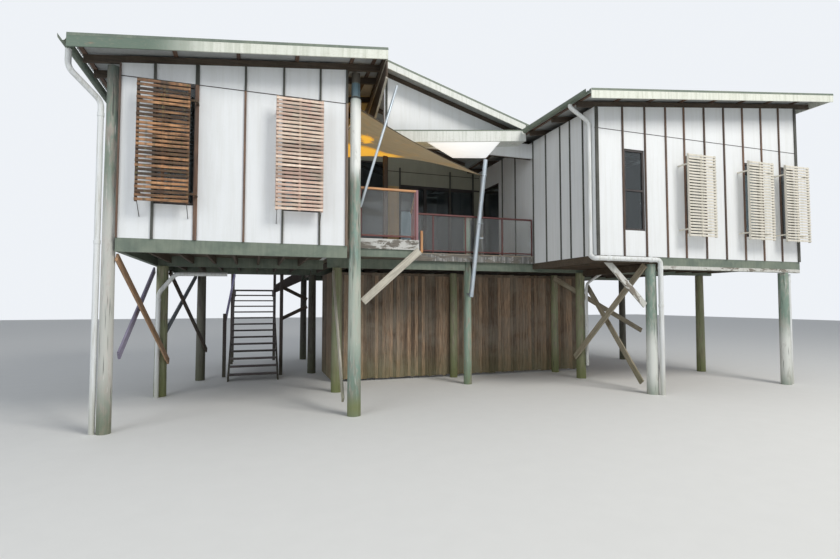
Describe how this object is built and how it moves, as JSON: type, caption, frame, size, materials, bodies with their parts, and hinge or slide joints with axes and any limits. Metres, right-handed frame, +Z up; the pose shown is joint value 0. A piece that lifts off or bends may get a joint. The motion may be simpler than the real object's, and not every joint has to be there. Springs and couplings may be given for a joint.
{
  "type": "stilt house",
  "caption": "Timber pole house raised on tall round poles, with two flat-sheeted wings either side of a roofed deck, a carport under, a back stair and shade sails.",
  "frame": {"origin": "centre of the front pole's foot, on the level floor the house stands on", "axes": "+X along the front of the house to the right, +Y from the front to the back, +Z up"},
  "size_m": [16.155, 10.552, 7.4961],
  "materials": {
    "pole_timber": "weathered",
    "mossy_timber": "weathered",
    "dark_timber": "weathered",
    "green_steel": "satin",
    "brown_timber": "matte",
    "floor_timber": "matte",
    "deck_timber": "matte",
    "white_board": "satin painted",
    "beige_board": "satin painted",
    "dark_frame": "satin",
    "glass": "clear",
    "brown_slats": "weathered",
    "pale_slats": "weathered",
    "white_slats": "satin",
    "roof_sheet": "satin",
    "white_paint": "peeling paint",
    "worn_paint": "peeling paint",
    "rail_timber": "oiled",
    "rail_steel": "satin",
    "plastic_pipe": "satin",
    "pale_timber": "weathered",
    "purple_paint": "satin painted",
    "paling_timber": "weathered",
    "galvanised": "galvanised",
    "tan_cloth": "woven",
    "white_cloth": "woven"
  },
  "bodies": {
    "root": {"front_poles": "pole_timber", "carport_poles": "mossy_timber", "back_poles": "dark_timber", "left_wing_beams": "green_steel", "deck_beams": "green_steel", "right_wing_beams": "green_steel", "floor_joists": "brown_timber", "left_wing_floor": "floor_timber", "deck_floor": "deck_timber", "right_wing_floor": "floor_timber", "main_floor": "floor_timber", "left_front_wall": "white_board", "left_side_wall": "white_board", "left_inner_wall": "white_board", "left_back_wall": "white_board", "right_front_wall": "white_board", "right_inner_wall": "white_board", "right_side_wall": "white_board", "right_back_wall": "white_board", "door_wall": "beige_board", "main_back_wall": "white_board", "main_side_wall": "white_board", "gable_wall": "white_board", "clerestory_wall": "white_board", "gable_post": "brown_timber", "window_frames": "dark_frame", "window_glass": "glass", "door_frames": "dark_frame", "door_glass": "glass", "left_screen": "brown_slats", "right_screen": "pale_slats", "white_screens": "white_slats", "left_roof": "roof_sheet", "right_roof": "roof_sheet", "main_roof": "roof_sheet", "link_roof": "roof_sheet", "wing_rafters": "brown_timber", "main_rafters": "brown_timber", "wing_fascias": "white_paint", "main_fascia": "white_paint", "porch_hood": "white_paint", "deck_fascia": "worn_paint", "walkway_rail": "rail_timber", "deck_rail": "rail_steel", "rail_glass": "glass", "gutters": "green_steel", "downpipes": "plastic_pipe", "braces": "pale_timber", "verge_board": "pale_timber", "stair_frame": "dark_timber", "stair_rail": "purple_paint", "stair_treads": "dark_timber", "paling_screen": "paling_timber", "mast": "galvanised", "thin_pole": "galvanised", "tan_sail": "tan_cloth", "white_sail": "white_cloth"}
  },
  "joints": []
}
